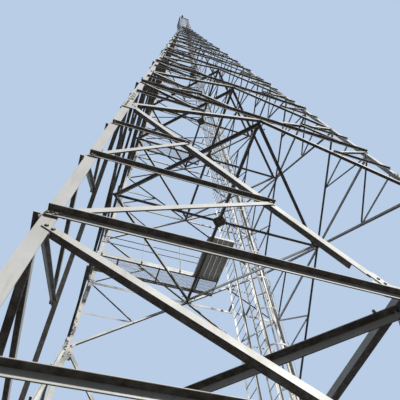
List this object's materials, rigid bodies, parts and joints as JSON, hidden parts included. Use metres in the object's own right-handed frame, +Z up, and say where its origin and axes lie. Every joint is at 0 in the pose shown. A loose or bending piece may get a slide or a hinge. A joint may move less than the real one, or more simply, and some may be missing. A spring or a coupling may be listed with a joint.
{
  "type": "half size model of a self-supporting lattice cell tower",
  "caption": "Tapering square lattice tower of galvanised angle bars, with a straight head, rest platforms, a caged ladder, a cable ladder and a top light, at 1:2.",
  "frame": {"origin": "underside of the front left foot plate, in the middle of its four anchor bolt holes; the tower's own axis stands at X 1.56 m, Y 1.56 m", "axes": "+X along the front face to the right, +Y from the front face to the back face with the ladders, +Z up the tower"},
  "size_m": [3.4, 3.4, 30.165],
  "materials": {
    "galvanised_legs": "hot-dip galvanised angle, weathered to a pale warm grey",
    "galvanised_bracing": "hot-dip galvanised angle, weathered, brownish dirt on the undersides",
    "galvanised_plates": "hot-dip galvanised plate, dull, a little rust at the bolts",
    "galvanised_platform": "hot-dip galvanised flats and grating, pale",
    "pink_light_lens": "pale red moulded lens on a grey metal foot"
  },
  "bodies": {
    "root": {"base_bracing_front": "galvanised_bracing", "base_bracing_right": "galvanised_bracing", "base_bracing_back": "galvanised_bracing", "base_bracing_left": "galvanised_bracing", "lower_bracing_front": "galvanised_bracing", "lower_bracing_right": "galvanised_bracing", "lower_bracing_back": "galvanised_bracing", "lower_bracing_left": "galvanised_bracing", "middle_bracing_front": "galvanised_bracing", "middle_bracing_right": "galvanised_bracing", "middle_bracing_back": "galvanised_bracing", "middle_bracing_left": "galvanised_bracing", "upper_bracing_front": "galvanised_bracing", "upper_bracing_right": "galvanised_bracing", "upper_bracing_back": "galvanised_bracing", "upper_bracing_left": "galvanised_bracing", "head_bracing_front": "galvanised_bracing", "head_bracing_right": "galvanised_bracing", "head_bracing_back": "galvanised_bracing", "head_bracing_left": "galvanised_bracing", "lower_leg_front_left": "galvanised_legs", "lower_leg_front_right": "galvanised_legs", "lower_leg_back_right": "galvanised_legs", "lower_leg_back_left": "galvanised_legs", "upper_leg_front_left": "galvanised_legs", "upper_leg_front_right": "galvanised_legs", "upper_leg_back_right": "galvanised_legs", "upper_leg_back_left": "galvanised_legs", "head_legs": "galvanised_legs", "plan_bracing": "galvanised_bracing", "gusset_plates": "galvanised_plates", "foot_plates": "galvanised_plates", "platform_floors": "galvanised_platform", "guard_rails": "galvanised_platform", "side_bay": "galvanised_platform", "ladder_rungs": "galvanised_platform", "climbing_ladder": "galvanised_platform", "cable_ladder": "galvanised_platform", "cage_side_back": "galvanised_platform", "cage_corner_back": "galvanised_platform", "cage_side_right": "galvanised_platform", "cage_corner_front": "galvanised_platform", "cage_side_front": "galvanised_platform", "obstruction_light": "pink_light_lens"}
  },
  "joints": []
}
